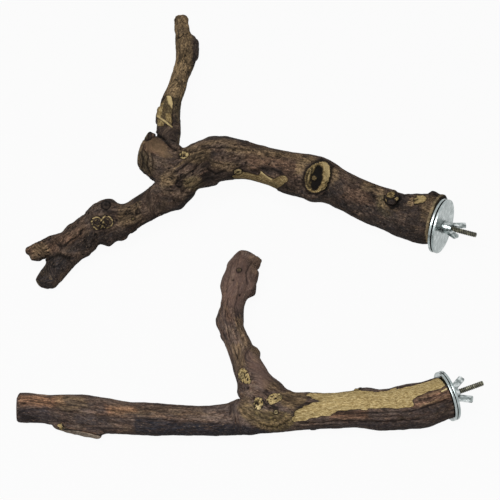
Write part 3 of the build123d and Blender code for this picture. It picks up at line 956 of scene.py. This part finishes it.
forkedPerch = {
    "name": "forked",
    "voxel": 0.72,
    "smoothing": 14,
    "seed": 3,
    "relief": {
        "lumps": 0.9, "ridges": 0.16, "crust": 0.16, "flakes": 0.15, "furrows": 0.45, "furrowShade": 0.6,
    },
    "bark": {  # sizes of the marks along and across the grain, then how strong each is
        "cloudSize": (15.0, 9.0), "streakSize": (16.0, 3.5), "crustSize": (2.6, 1.7), "gritSize": (6.5, 4.8),
        "warm": 0.3, "olive": 0.2, "sand": 0.2, "dark": 0.45,
        "streaks": 0.32, "grit": 0.5, "crust": 0.25, "speckle": 0.3,
        "seams": 0.85, "pits": 0.95, "checks": 0.4, "crumbs": 0.4,
    },
    "sawnRim": 3.4,
    "seatShadow": 1.6,
    "cutEnds": 0.5,
    "hiddenKnots": 26,
    "roughness": (0.62, 0.85),
    "colours": {
        "deep": paint(44, 37, 33), "middle": paint(75, 62, 54), "light": paint(110, 92, 78),
        "warm": paint(112, 87, 70), "olive": paint(104, 91, 66), "sand": paint(150, 126, 94),
        "dark": paint(42, 40, 41),
        "calm": paint(105, 86, 65), "creviceShade": paint(17, 15, 14), "crumb": paint(156, 131, 98),
        "bareDeep": paint(80, 65, 41), "bare": paint(128, 108, 71), "barePale": paint(206, 184, 134),
        "cutDeep": paint(108, 95, 74), "cut": paint(168, 148, 114),
    },
    "creases": [],
    "nudges": [  # route, radius, move
        ([(178, 60), (168, 100), (166, 130)], 16, (1.8, 0)),
        ([(181, 22)], 10, (0.6, 0)),
        ([(187, 19)], 5, (2.2, 0)),
        ([(187, 27)], 4, (1.8, 0)),
        ([(175, 27)], 4, (-1.2, 0)),
        ([(174, 36)], 4, (1.2, 0)),
        ([(194, 39)], 4.5, (1.2, -2.6)),
        ([(196, 42)], 6, (2, -0.5)),
        ([(145.5, 138), (150.5, 137)], 4.2, (-1.0, -5.0)),
        ([(138, 150), (138, 164)], 6, (1.2, 0)),
        ([(124, 200), (140, 193), (158, 183)], 7, (1.8, 5.6)),
        ([(62, 229)], 8, (2, 3.5)),
        ([(75, 219), (84, 211)], 8, (2.5, 5)),
        ([(108, 198)], 7, (0, 1.5)),
        ([(112, 246), (130, 236), (150, 222), (172, 210)], 7, (0.5, 1.8)),
        ([(432, 193), (443, 193)], 5, (0, -1.6)),
        ([(402, 194)], 4, (0, 2.4)),
        ([(417, 195)], 6, (0, -1.4)),
        ([(33, 257), (40, 258)], 4, (0, 2.8)),
        ([(27, 256)], 3.5, (1.5, -2.2)),
        ([(50, 258)], 3.5, (-3, 0.8)),
        ([(26, 250), (44, 249)], 9, (0, 1.5)),
        ([(41, 273), (45, 289)], 9, (-3.6, 3.6)),
        ([(110, 243)], 6, (0, 4)),
        ([(70, 268), (90, 255)], 8, (-0.5, 1)),
        ([(176, 207)], 7, (0, 2)),
        ([(191, 201), (203, 191)], 7, (-1, -1.8)),
        ([(212, 186)], 6, (0, -1.6)),
        ([(186, 146), (200, 140)], 6, (0, 1)),
        ([(214, 137), (230, 137)], 8, (0, -1)),
        ([(240, 144), (270, 150)], 7, (0, 1)),
        ([(222, 180), (260, 181)], 8, (0, 1.2)),
        ([(300, 180), (420, 218)], 30, (0, 0.9)),
    ],
    # the dark patches are partly the bark's own blue-black colour and partly painted shade on the lower
    # sides; the crevice patch paints shade in the scar's hollow
    "patches": [  # kind, outline, soft edge, strength, depth, ragged edge, crumble
        ("bare", [(232, 177), (240, 171), (250, 173), (257, 175), (262, 172), (267, 176), (274, 179),
            (280, 175), (286, 176), (289, 180), (282, 186), (277, 190), (262, 186), (248, 183), (236, 182)],
            1.0, 0.54, 0.7, 0.7),
        ("creviceShade", [(316.5, 165.5), (320.5, 164.5), (323, 168), (322.5, 174), (322.5, 180), (320, 186),
            (316.5, 190.5), (312.5, 191), (310.5, 188), (311, 182), (310, 178), (314.5, 169)], 0.8, 0.97,
            1.8, 1.0),
        ("pale", [(322, 163), (328, 165), (330, 174), (327, 182), (324, 182), (324, 172)], 1.0, 0.65),
        ("bare", [(414, 200), (417, 196.5), (423, 195.5), (427, 198), (424.5, 201.5), (419, 203),
            (415, 203.5)], 1.2, 1.0, 0.3, 1.2),
        ("sand", [(408, 203), (411, 198), (416, 197), (415, 203), (411, 207)], 1.5, 0.8),
        ("pale", [(412, 199), (416, 196), (422.5, 195.5), (426, 198), (422, 201), (416, 202)], 1.0, 0.3),
        ("bare", [(156, 112), (159, 104), (166, 95), (173, 97), (173, 122), (173, 128), (165, 124),
            (157, 126)], 1.0, 0.42, 0.6, 0.8),
        ("bare", [(156, 110), (159, 103), (163, 103), (162, 110), (160, 116), (156, 117)], 1.0, 1.0, 0.0,
            0.8),
        ("bare", [(166, 95), (171, 96), (173, 104), (172, 108), (168, 102)], 0.8, 1.0, 0.0, 0.5),
        ("pale", [(166, 95), (171, 96), (173, 104), (172, 108), (168, 102)], 0.8, 1.0, 0.0, 0.5),
        ("bare", [(164, 112), (171, 113), (173, 124), (166, 120)], 1.0, 0.6, 0.0, 1.0),
        ("bare", [(157, 119), (163, 122), (164, 126), (157, 126)], 1.0, 1.0, 0.0, 0.6),
        ("sand", [(172, 12), (192, 12), (193, 34), (190, 50), (192, 68), (183, 98), (174, 98), (164, 96),
            (168, 72), (172, 40)], 3.0),
        ("dark", [(193, 36), (201, 40), (200, 56), (195, 68), (191, 66), (193, 50)], 2.0, 0.6),
        ("dark", [(156, 127), (166, 127), (180, 130), (182, 150), (170, 144), (156, 138)], 2.5, 0.5),
        ("dark", [(143, 131), (151, 131), (152, 138), (143, 140)], 1.5, 0.9),
        ("sand", [(185, 46), (192, 50), (193, 70), (186, 72)], 2.0, 0.7),
        ("sand", [(184, 148), (196, 147), (211, 150), (209, 160), (197, 164), (186, 161)], 2.5, 0.6),
        ("sand", [(160, 176), (172, 170), (179, 178), (170, 188), (160, 187)], 2.5, 0.6),
        ("sand", [(296, 160), (312, 156), (317, 160), (306, 166), (302, 175), (296, 173)], 2.0, 0.8),
        ("sand", [(419, 197), (434, 196), (436, 208), (430, 222), (421, 218)], 3.0, 0.35),
        ("sand", [(118, 207), (140, 202), (141, 220), (126, 228), (118, 224)], 3.0, 0.4),
        ("sand", [(30, 245), (46, 243), (50, 252), (46, 260), (34, 258)], 2.0, 0.5),
        ("sand", [(38, 268), (46, 264), (48, 276), (42, 282)], 2.0, 0.5),
        ("sand", [(362, 181), (384, 187), (384, 195), (362, 190)], 2.5, 0.5),
        ("sand", [(210, 160), (240, 164), (236, 172), (212, 168)], 2.5, 0.4),
        ("dark", [(258, 165), (282, 168), (284, 175), (262, 174)], 1.5, 0.9),
        ("dark", [(300, 186), (306, 194), (322, 193), (334, 180), (344, 182), (344, 196), (320, 197),
            (300, 194)], 2.0, 0.8),
        ("dark", [(396, 191), (404, 194), (409, 200), (402, 207), (396, 203)], 2.0, 0.9),
        ("dark", [(340, 197), (362, 205), (396, 209), (403, 223), (372, 215), (340, 209)], 3.0, 0.8),
        ("dark", [(54, 242), (70, 243), (92, 231), (101, 238), (84, 252), (60, 253)], 2.5, 0.8),
        ("dark", [(84, 210), (92, 208), (94, 218), (90, 226), (84, 222)], 2.0, 0.7),
        ("dark", [(50, 262), (66, 260), (60, 276), (52, 287), (48, 282)], 2.0, 0.8),
        ("dark", [(84, 211), (96, 204), (112, 199), (112, 212), (98, 215)], 2.0, 0.8),
        ("dark", [(98, 232), (116, 230), (132, 224), (128, 236), (112, 247), (98, 244)], 2.5, 0.8),
        ("calm", [(142, 142), (150, 137), (159, 139), (167, 147), (172, 156), (164, 158), (156, 153),
            (148, 149)], 2.5, 0.85),
        ("dark", [(400, 207), (422, 206), (420, 228), (402, 224)], 4.0, 0.6),
        ("warm", [(340, 186), (365, 188), (374, 204), (352, 208), (340, 200)], 3.0, 0.45),
        ("dark", [(340, 214), (375, 214), (425, 232), (424, 246), (390, 236), (350, 222)], 4.0, 0.8),
        ("sand", [(330, 168), (338, 170), (338, 180), (331, 186)], 2.0, 0.7),
        ("olive", [(376, 196), (384, 194), (386, 208), (392, 214), (386, 218), (378, 210)], 3.0),
        ("dark", [(203, 174), (215, 172), (236, 176), (236, 185), (210, 187), (201, 181)], 3.0, 0.65),
        ("olive", [(137, 152), (147, 150), (156, 163), (152, 176), (137, 172)], 4.0, 0.5),
        ("dark", [(152, 158), (166, 160), (166, 176), (154, 176)], 4.0, 0.5),
        ("dark", [(36, 256), (56, 252), (74, 258), (60, 276), (50, 292), (36, 286)], 5.0, 0.95),
        ("warm", [(140, 138), (150, 135), (168, 146), (164, 156), (148, 152), (139, 150)], 3.0),
        ("warm", [(244, 150), (300, 158), (298, 178), (250, 170)], 6.0, 0.8),
        ("warm", [(25, 244), (48, 242), (70, 232), (84, 228), (84, 242), (62, 252), (40, 260), (25, 256)],
            5.0, 0.8),
        ("olive", [(183, 178), (198, 176), (203, 184), (196, 191), (184, 188)], 3.0),
        ("olive", [(168, 60), (190, 50), (190, 90), (178, 120), (166, 100)], 5.0, 0.8),
    ],
    "cracks": [  # route, width, depth, dark, wander
        ([(157, 135), (162, 137), (166, 141), (170, 146), (177, 150)], 0.9, 1.8, 0.8),
        ([(143, 139), (148, 140), (152, 137)], 0.8, 0.8),
        ([(140, 152), (143, 158), (142, 168)], 0.5, 0.5, 0.7),
        ([(144, 150), (148, 156), (147, 166), (150, 174)], 0.5, 0.6, 0.7),
        ([(151, 153), (153, 161), (152, 170)], 0.5, 0.5, 0.6),
        ([(179, 150), (190, 152), (199, 150), (210, 147), (230, 148), (250, 150)], 0.6, 0.7, 0.6),
        ([(195, 157), (188, 163), (180, 169), (169, 176)], 0.6, 0.8, 0.65),
        ([(202, 162), (192, 171), (182, 178), (176, 184)], 0.7, 0.6, 0.7),
        ([(205, 157), (213, 162), (222, 164)], 0.6, 0.5, 0.6),
        ([(208, 169), (216, 174), (226, 171)], 0.8, 0.7, 0.8),
        ([(177, 38), (181, 37), (184, 34), (188, 33)], 0.5, 0.8, 0.85),
        ([(175, 79), (180, 82), (177, 85), (182, 88)], 0.4, 0.5, 0.65),
        ([(187, 50), (184, 58), (188, 64)], 0.6, 0.5, 0.6),
        ([(83, 229), (78, 236), (72, 240), (65, 246)], 0.7, 0.7, 0.8),
        ([(39, 243), (43, 251), (48, 259)], 0.6, 0.5, 0.4),
        ([(48, 258), (58, 254), (70, 258)], 1.2, 1.2, 0.8),
        ([(397, 193), (400, 199), (397, 206), (391, 208)], 1.2, 1.2, 0.95),
        ([(255, 171), (264, 168), (274, 170), (281, 173)], 1.4, 0.6, 0.6),
        ([(404, 196), (414, 193), (430, 193)], 0.7, 0.5, 0.7),
        ([(414, 200.5), (417, 198.5)], 0.7, 0.4, 0.9),
        ([(415, 204), (420, 203.5), (425, 202.5)], 0.5, 0.3, 0.8),
        ([(313.5, 177.5), (314.5, 178.5)], 1.7, 0.0, 0.5, 0.0),
        ([(309.5, 171), (307, 176), (307, 183), (310, 188)], 1.2, 0.4, 0.72),
        ([(312.5, 169.5), (311.5, 175), (310, 183)], 0.9, 0.4, 0.85),
        ([(331, 167), (330.5, 176), (327.5, 185), (323, 191)], 0.6, 0.5, 0.9),
        ([(327, 181), (324, 186), (321, 190)], 0.4, 0.2, 0.6),
    ],
    "stripes": [  # route, width, lift, tints, wander
        ([(311, 171), (309.5, 175), (309, 179)], 0.5, 0.3, {"bare": 1.0, "pale": 0.6}, 0.2),
        ([(157, 116), (165, 121), (172, 127)], 0.6, 0.3, {"bare": 1.0, "pale": 1.0}, 0.2),
        ([(261, 172), (266, 176), (271, 180)], 0.6, 0.3, {"bare": 1.0, "pale": 1.0}, 0.2),
        ([(88, 213), (97, 206), (110, 204)], 2.2, 1.3, {"dark": 0.7}),
        # dark stripes along the stem's upper and lower outlines: partly blue-black bark, partly painted shade
        # at its edges
        ([(184, 147), (200, 139), (225, 136), (245, 141)], 1.8, 0.0, {"dark": 0.9}),
        ([(148, 223), (170, 213), (186, 205), (192, 196)], 3.2, 0.0, {"dark": 0.9}),
        ([(340, 212), (360, 222), (376, 229)], 2.4, 0.0, {"dark": 0.8}),
        ([(230, 149), (260, 152), (300, 157)], 3.0, 0.2, {"sand": 0.5}),
        ([(378, 198), (383, 207), (390, 214)], 0.7, 0.4, {"sand": 0.8}),
        ([(384, 203), (390, 209), (397, 211)], 0.6, 0.4, {"sand": 0.7}),
        ([(190, 158), (181, 164), (171, 172)], 0.6, 0.3, {"sand": 0.9}),
        ([(186, 186), (194, 183), (200, 179)], 0.8, 0.3, {"sand": 0.8}),
        ([(181, 152), (195, 147), (215, 142), (235, 143)], 2.0, 0.5, {"sand": 0.35}),
        ([(433, 192), (441, 193), (445, 197)], 1.4, 0.6, {"dark": 0.9}),
    ],
    "pits": [
        (372, 192), (374, 196), (370, 201), (346, 205), (267, 154), (278, 156), (268, 156), (123, 206),
        (126, 214), (129, 207), (133, 214), (137, 214), (138, 208), (130, 211), (178, 178), (182, 182),
        (186, 176), (180, 187), (233, 150), (240, 158), (223, 158), (229, 165), (246, 163), (353, 183),
        (360, 196),
    ],
    "knots": [
        dict(at=(316, 179), size=9.0, across=11.5, rise=1.2, groove=1.0, heart=0.0, bare=1.0, dark=0.75),
        dict(at=(314, 178), size=1.8, rise=1.0, groove=0.0, heart=0.0, bare=1.0, dark=0.0, clear=True),
        dict(at=(299, 182), size=3.0, rise=0.5, groove=0.6),
        dict(at=(267, 154), size=1.5, rise=0.2, heart=0.8),
        dict(at=(278, 156), size=1.8, rise=0.2, heart=0.8),
        dict(at=(238, 172), size=3.1, rise=0.7, groove=0.8, heart=0.9, bare=1.0, pale=0.6, dark=0.95,
            crumble=0.3),
        dict(at=(391, 197), size=5.0, rise=2.6, groove=1.4, heart=0.0, bare=0.8, dark=0.95, tint="dark"),
        dict(at=(391.5, 197), size=2.4, rise=0.3, groove=0.4, heart=0.0, bare=0.9, dark=0.6, crumble=0.5,
            clear=True),
        dict(at=(387.5, 201), size=1.2, rise=0.4, groove=0.4, heart=0.0, bare=0.8, dark=0.5, clear=True),
        dict(at=(395.5, 200), size=1.1, rise=0.4, groove=0.3, heart=0.0, bare=1.0, pale=0.7, dark=0.4,
            clear=True),
        dict(at=(184, 155), size=3.6, rise=0.4, groove=0.3, heart=0.0, bare=1.0, pale=0.6, dark=0.5,
            crumble=0.8),
        dict(at=(97, 223), size=4.6, across=5.4, rise=1.0, groove=0.8, heart=0.6, bare=0.75, pale=0.4,
            dark=0.45, ringed=True, crumble=1.1),
        dict(at=(107, 222), size=5.0, rise=1.1, groove=0.8, heart=0.6, bare=0.75, pale=0.4, dark=0.45,
            ringed=True, crumble=1.1),
        dict(at=(103, 227), size=1.8, rise=0.2, groove=0.2, heart=0.9, dark=0.95),
        dict(at=(106, 206), size=3.0, rise=0.8, groove=0.8, heart=0.3, dark=0.9),
        dict(at=(127, 213), size=1.4, rise=0.1, heart=0.8, dark=0.8),
        dict(at=(138, 212), size=1.6, rise=0.1, heart=0.8, dark=0.8),
        dict(at=(133, 219), size=1.3, rise=0.2, heart=0.5, pale=0.5, bare=0.5),
        dict(at=(179, 184), size=2.2, rise=0.1, groove=0.3, heart=1.0, dark=0.9),
        dict(at=(183, 176), size=1.6, rise=0.1, groove=0.3, heart=1.0, dark=0.9),
    ],
}

crookPerch = {
    "name": "crook",
    "voxel": 0.72,
    "smoothing": 14,
    "seed": 8,
    "relief": {
        "lumps": 0.8, "ridges": 0.24, "crust": 0.1, "flakes": 0.15, "furrows": 0.4, "furrowShade": 0.6,
    },
    "bark": {
        "cloudSize": (30.0, 8.0), "streakSize": (24.0, 2.8), "crustSize": (5.0, 1.5), "gritSize": (8.0, 4.5),
        "warm": 0.28, "olive": 0.2, "sand": 0.25, "dark": 0.45,
        "streaks": 0.34, "grit": 0.46, "crust": 0.15, "speckle": 0.25,
        "seams": 0.7, "pits": 0.6, "checks": 0.5, "crumbs": 0.5,
    },
    "sawnRim": 0.4,
    "seatShadow": 0.5,
    "cutEnds": 0.5,
    "hiddenKnots": 20,
    "roughness": (0.58, 0.82),
    "colours": {
        "deep": paint(57, 48, 44), "middle": paint(94, 79, 71), "light": paint(124, 106, 94),
        "warm": paint(152, 114, 88), "olive": paint(108, 93, 62), "sand": paint(146, 122, 90),
        "dark": paint(44, 44, 49),
        "calm": paint(110, 88, 79), "creviceShade": paint(20, 17, 17), "crumb": paint(160, 134, 104),
        "bareDeep": paint(108, 88, 54), "bare": paint(162, 141, 95), "barePale": paint(210, 190, 144),
        "cutDeep": paint(124, 110, 96), "cut": paint(168, 153, 136),
    },
    "creases": [  # route, radius, rounds of smoothing
        ([(231, 398), (235, 426)], 9, 120),
        ([(258, 264), (255, 273)], 7, 110),
        ([(270, 373), (284, 386)], 7, 120),
    ],
    "nudges": [  # route, radius, move
        ([(17, 395), (17, 420)], 8, (-0.8, 0.5)),
        ([(18, 395)], 4, (1.2, -1)),
        ([(100, 437)], 6, (5, 3.5)),
        ([(112, 433), (180, 434), (250, 434)], 6, (0, 0.9)),
        ([(370, 429), (405, 429)], 5, (0, 0.8)),
        ([(219, 298)], 6, (1.2, 0)),
        ([(218, 311)], 5.5, (3, 0)),
        ([(217, 324)], 6, (-1.8, 0)),
        ([(223, 266), (221, 285)], 6, (-2, 0)),
        ([(231, 255)], 7, (2.5, 2)),
        ([(261, 257)], 5, (3.5, 0)),
        ([(260, 264)], 4.5, (2.2, -3.5)),
        ([(256, 271)], 5, (3, 0)),
        ([(258, 288)], 6, (-1, 0)),
        ([(283, 390)], 7, (5, -3)),
        ([(279, 384)], 7, (2.5, -1.5)),
        ([(380, 389), (440, 377)], 6, (0, 1)),
        ([(241, 394)], 5, (-3, 0)),
        ([(237, 400)], 5, (-3, -2.5)),
        ([(245, 305), (244, 320)], 5, (1, 0)),
    ],
    # the dark patches along the lower edge are partly the bark's own blue-black colour and partly painted
    # shade on the lower side; the crevice patch paints shade in a hollow
    "patches": [  # kind, outline, soft edge, strength, depth, ragged edge, crumble
        ("bare", [(292, 420), (296, 411), (306, 405), (322, 401), (313, 398), (306, 395), (310, 393),
            (330, 392), (347, 389), (363, 390), (375, 392), (389, 390), (403, 387), (418, 384), (434, 379),
            (446, 376), (446, 384), (442, 388), (429, 391), (418, 395), (412, 400), (414, 404), (409, 408),
            (392, 408), (370, 409), (351, 410), (337, 411), (330, 415), (316, 418), (303, 421), (294, 422)],
            1.0, 1.0, 0.8, 1.6),
        ("bare", [(266.5, 399), (269, 396), (273, 393.5), (279, 394), (282.5, 396), (282, 400),
            (277, 402.5), (271, 405), (267.5, 403.5)], 1.0, 1.0, -0.3, 1.0, 0.8),
        ("bare", [(238.5, 371), (241, 368.5), (245, 369), (249, 374), (251, 381), (249.5, 384.5),
            (245, 383), (240.5, 380.5), (238, 376)], 1.0, 1.0, -0.4, 1.0, 0.8),
        ("bare", [(254, 400), (257, 397), (261, 397), (263, 401), (262, 406), (259.5, 409.5), (256, 409),
            (254, 405)], 1.0, 1.0, -0.4, 1.5, 1.2),
        ("pale", [(256, 405.5), (260, 405.5), (260, 409), (257, 409)], 1.0, 0.9),
        ("creviceShade", [(270, 406), (275, 404.5), (279, 407), (277, 410), (272, 409.5)], 1.5, 0.7, 0.5),
        ("sand", [(240, 400), (248, 396), (253, 404), (254, 414), (248, 416), (240, 409)], 2.0, 0.45),
        ("dark", [(134, 416), (180, 421), (240, 424), (285, 432), (285, 440), (134, 440)], 3.0),
        ("dark", [(322, 424), (350, 421), (409, 421), (440, 424), (440, 436), (322, 436)], 2.5, 0.7),
        ("dark", [(296, 427), (322, 425), (322, 436), (296, 436)], 2.5, 0.7),
        ("dark", [(16, 408), (44, 408), (60, 416), (50, 424), (16, 424)], 3.0, 0.8),
        ("sand", [(56, 397), (84, 397), (88, 407), (66, 412), (56, 406)], 2.5, 0.5),
        ("sand", [(110, 404), (200, 407), (200, 417), (140, 416), (112, 415)], 3.0, 0.2),
        ("dark", [(74, 414), (106, 417), (112, 426), (84, 426), (72, 420)], 2.5, 0.8),
        ("dark", [(202, 404), (232, 403), (240, 400), (240, 414), (226, 414), (204, 411)], 2.0, 0.6),
        ("dark", [(226, 301), (244, 299), (244, 318), (232, 318)], 3.0, 0.6),
        ("sand", [(231, 345), (241, 343), (246, 368), (238, 372)], 2.5, 0.5),
        ("sand", [(249, 345), (258, 346), (262, 360), (254, 362)], 2.0, 0.5),
        ("sand", [(250, 256), (262, 258), (258, 276), (250, 272)], 2.5, 0.5),
        ("sand", [(262, 379), (278, 382), (282, 391), (264, 390)], 2.5, 0.5),
        ("sand", [(279, 392), (300, 391), (309, 396), (304, 404), (293, 409), (281, 405)], 1.5, 0.9),
        ("dark", [(360, 411), (404, 410), (446, 400), (452, 418), (430, 424), (404, 417), (360, 417)], 2.5,
            0.45),
        ("calm", [(222, 262), (236, 252), (262, 258), (257, 280), (250, 300), (238, 312), (222, 300)], 4.0,
            0.7),
        ("calm", [(246, 350), (262, 356), (274, 380), (262, 392), (248, 366)], 4.0, 0.7),
        ("sand", [(234, 318), (240, 316), (250, 344), (244, 352)], 3.0, 0.5),
        ("warm", [(19, 395), (62, 397), (66, 404), (50, 407), (19, 406)], 2.0),
        ("warm", [(105, 406), (136, 407), (138, 413), (108, 414)], 2.5),
        ("warm", [(220, 290), (230, 290), (238, 310), (238, 325), (224, 320)], 4.0, 0.3),
        ("warm", [(330, 412), (368, 410), (368, 418), (330, 419)], 2.5, 0.9),
        ("warm", [(413, 398), (452, 386), (452, 400), (413, 408)], 2.5, 0.6),
        ("olive", [(238, 407), (247, 402), (262, 410), (290, 412), (296, 424), (280, 432), (258, 427),
            (244, 418)], 3.0),
        ("cut", [(62, 429), (75, 430.5), (85, 432.5), (96, 435), (104, 437.5), (105, 442), (84, 440),
            (60, 434)], 0.8, 1.0, 0.0, 0.5),
        ("bare", [(57, 425), (61, 423.5), (64, 425), (64.5, 430), (60, 431)], 0.8, 1.0, 0.0, 0.8, 0.4),
        ("warm", [(80, 430), (96, 433), (96, 435), (82, 432.5)], 0.8, 1.0, 0.0, 0.5),
    ],
    "cracks": [  # route, width, depth, dark, wander
        ([(240, 405), (247, 416), (260, 424), (276, 428), (290, 420)], 0.6, 0.6, 0.35),
        ([(250, 410), (258, 416), (270, 420), (284, 417)], 0.5, 0.5, 0.3),
        ([(260, 412), (270, 416), (282, 413)], 0.5, 0.4, 0.3),
        ([(256, 402), (258, 404)], 0.9, 0.8, 1.0),
        ([(254, 406.5), (255.5, 403.5), (259, 400.5)], 0.5, 0.5, 0.9),
        ([(263, 400), (265, 403), (267, 405)], 0.6, 0.6, 0.9),
        ([(228, 298), (225, 318), (231, 342), (240, 364)], 0.5, 0.4, 0.45),
        ([(240, 285), (235, 308), (240, 334), (250, 358)], 0.5, 0.4, 0.4),
        ([(232, 262), (229, 276), (226, 292)], 0.5, 0.3, 0.3),
        ([(252, 262), (246, 272), (248, 284)], 0.6, 0.5, 0.5),
        ([(30, 401), (60, 404), (100, 409), (130, 412)], 0.5, 0.4, 0.6),
        ([(64, 411), (110, 417), (160, 420), (220, 424)], 0.5, 0.5, 0.35, 2.0),
        ([(140, 409), (180, 413), (220, 414)], 0.4, 0.4, 0.4, 2.0),
        ([(300, 424), (340, 421), (380, 422), (420, 420)], 0.7, 0.7, 0.5, 1.5),
        ([(336, 414), (370, 413), (410, 412), (446, 400)], 0.5, 0.4, 0.7),
        ([(415, 402), (430, 398), (447, 392)], 0.5, 0.3, 0.5),
        ([(64, 429), (85, 431.5), (103, 436)], 0.6, 0.4, 0.8),
    ],
    "stripes": [  # route, width, lift, tints, wander
        ([(238.5, 408), (244, 415), (251, 420.5), (260, 426.5), (271, 430.5)], 1.3, 0.6,
            {"sand": 0.9, "olive": 0.5}),
        ([(271, 430.5), (282, 430), (291, 424), (296, 410)], 1.5, 0.5, {"olive": 0.8}),
        ([(246, 411), (255, 418.5), (268, 424), (281, 423), (290, 415)], 1.0, 0.4,
            {"sand": 0.6, "olive": 0.6}),
        ([(64, 430), (85, 433), (103, 437.5)], 0.5, 0.3, {"cut": 1.0, "sand": 0.8}),
        ([(442, 391.5), (446, 389)], 0.8, 0.2, {"bare": 1.0, "pale": 1.0}),
        ([(418, 399), (432, 394), (446, 388)], 0.5, 0.2, {"sand": 0.9}),
        ([(420, 406), (434, 401), (447, 396)], 0.5, 0.2, {"sand": 0.7}),
        ([(345, 388), (375, 389), (400, 385), (438, 376)], 1.2, 0.4, {"dark": 0.8}),
    ],
    "pits": [
        (262, 407), (270, 408), (254, 398), (248, 388), (276, 412), (240, 295), (233, 280), (236, 330),
    ],
    "knots": [
        dict(at=(242.3, 376), size=2.3, rise=0.3, groove=0.5, heart=0.2, bare=1.0, pale=0.3, dark=0.75),
        dict(at=(280, 397), size=1.5, rise=0.2, groove=0.3, heart=0.3, bare=1.0, pale=0.4, dark=0.6),
        dict(at=(276, 412), size=1.6, rise=0.5, groove=0.3, heart=0.7, bare=1.0, pale=1.0, dark=0.7),
        dict(at=(239, 270), size=2.0, rise=0.4, groove=0.4, heart=0.5, pale=0.4, bare=0.4),
    ],
}


def growBranch(perch):
    skin = branchSkin(perch)
    for patch in perch["patches"]:
        addPatch(skin, *patch)
    for knot in perch["knots"]:
        addKnot(skin, **knot)
    scatterKnots(skin, perch)
    for crack in perch["cracks"]:
        addCrack(skin, *crack)
    for stripe in perch["stripes"]:
        addStripe(skin, *stripe)
    for at in perch["pits"]:
        addPit(skin, at)
    addBark(skin, perch)
    addCuts(skin, perch)
    finishSkin(skin, perch)
    print(perch["name"], "branch grown")


def layTable():
    mesh = bpy.data.meshes.new("studio_table")
    half = studio["tableHalf"]
    corners = [(-half, -half, 0), (half, -half, 0), (half, half, 0), (-half, half, 0)]
    mesh.from_pydata(corners, [], [(0, 1, 2, 3)])
    table = addObject("studio_table", mesh)
    table.location.z = -studio["tableDrop"]
    material = bpy.data.materials.new("whiteTable")
    material.use_nodes = True
    tree = material.node_tree
    tree.nodes.clear()
    share = maths(tree, "MULTIPLY", seenDirectly(tree), studio["tableWhite"])
    plain = addNode(tree, "BsdfDiffuse", {"Color": (*studio["tableColour"], 1.0)})
    white = addNode(tree, "Emission", {"Color": (1.0, 1.0, 1.0, 1.0), "Strength": 1.0})
    mixed = addNode(tree, "MixShader", {0: share, 1: plain.outputs[0], 2: white.outputs[0]})
    addNode(tree, "OutputMaterial", {"Surface": mixed.outputs[0]})
    mesh.materials.append(material)


def lightStudio():
    world = bpy.data.worlds.new("studioWorld")
    bpy.context.scene.world = world
    world.use_nodes = True
    tree = world.node_tree
    tree.nodes.clear()
    strength = remap(tree, seenDirectly(tree), 0.0, 1.0, studio["worldStrength"], 1.0)
    sky = addNode(tree, "Background", {"Color": (1.0, 1.0, 1.0, 1.0), "Strength": strength})
    addNode(tree, "OutputWorld", {"Surface": sky.outputs[0]})
    lamp = bpy.data.lights.new("softbox", "AREA")
    lamp.shape = "SQUARE"
    lamp.size = studio["softboxSize"]
    lamp.energy = studio["softboxPower"]
    softbox = addObject("softbox", lamp)
    softbox.location = studio["softboxPlace"]
    softbox.rotation_euler = (-Vector(studio["softboxPlace"])).to_track_quat("-Z", "Y").to_euler()
    softbox.visible_camera = False
    bpy.context.scene.view_settings.view_transform = "Standard"


def setCamera():
    data = bpy.data.cameras.new("photoCamera")
    data.sensor_width = cameraView["sensor"]
    data.lens = cameraView["lens"]
    data.clip_end = cameraView["clipEnd"]
    camera = addObject("photoCamera", data)
    camera.location = cameraEye * mm
    camera.rotation_euler = (pi / 2 - tilt, 0.0, 0.0)
    bpy.context.scene.camera = camera


growBranch(forkedPerch)
growBranch(crookPerch)
finishHardware()
layTable()
lightStudio()
setCamera()
print("studio set")
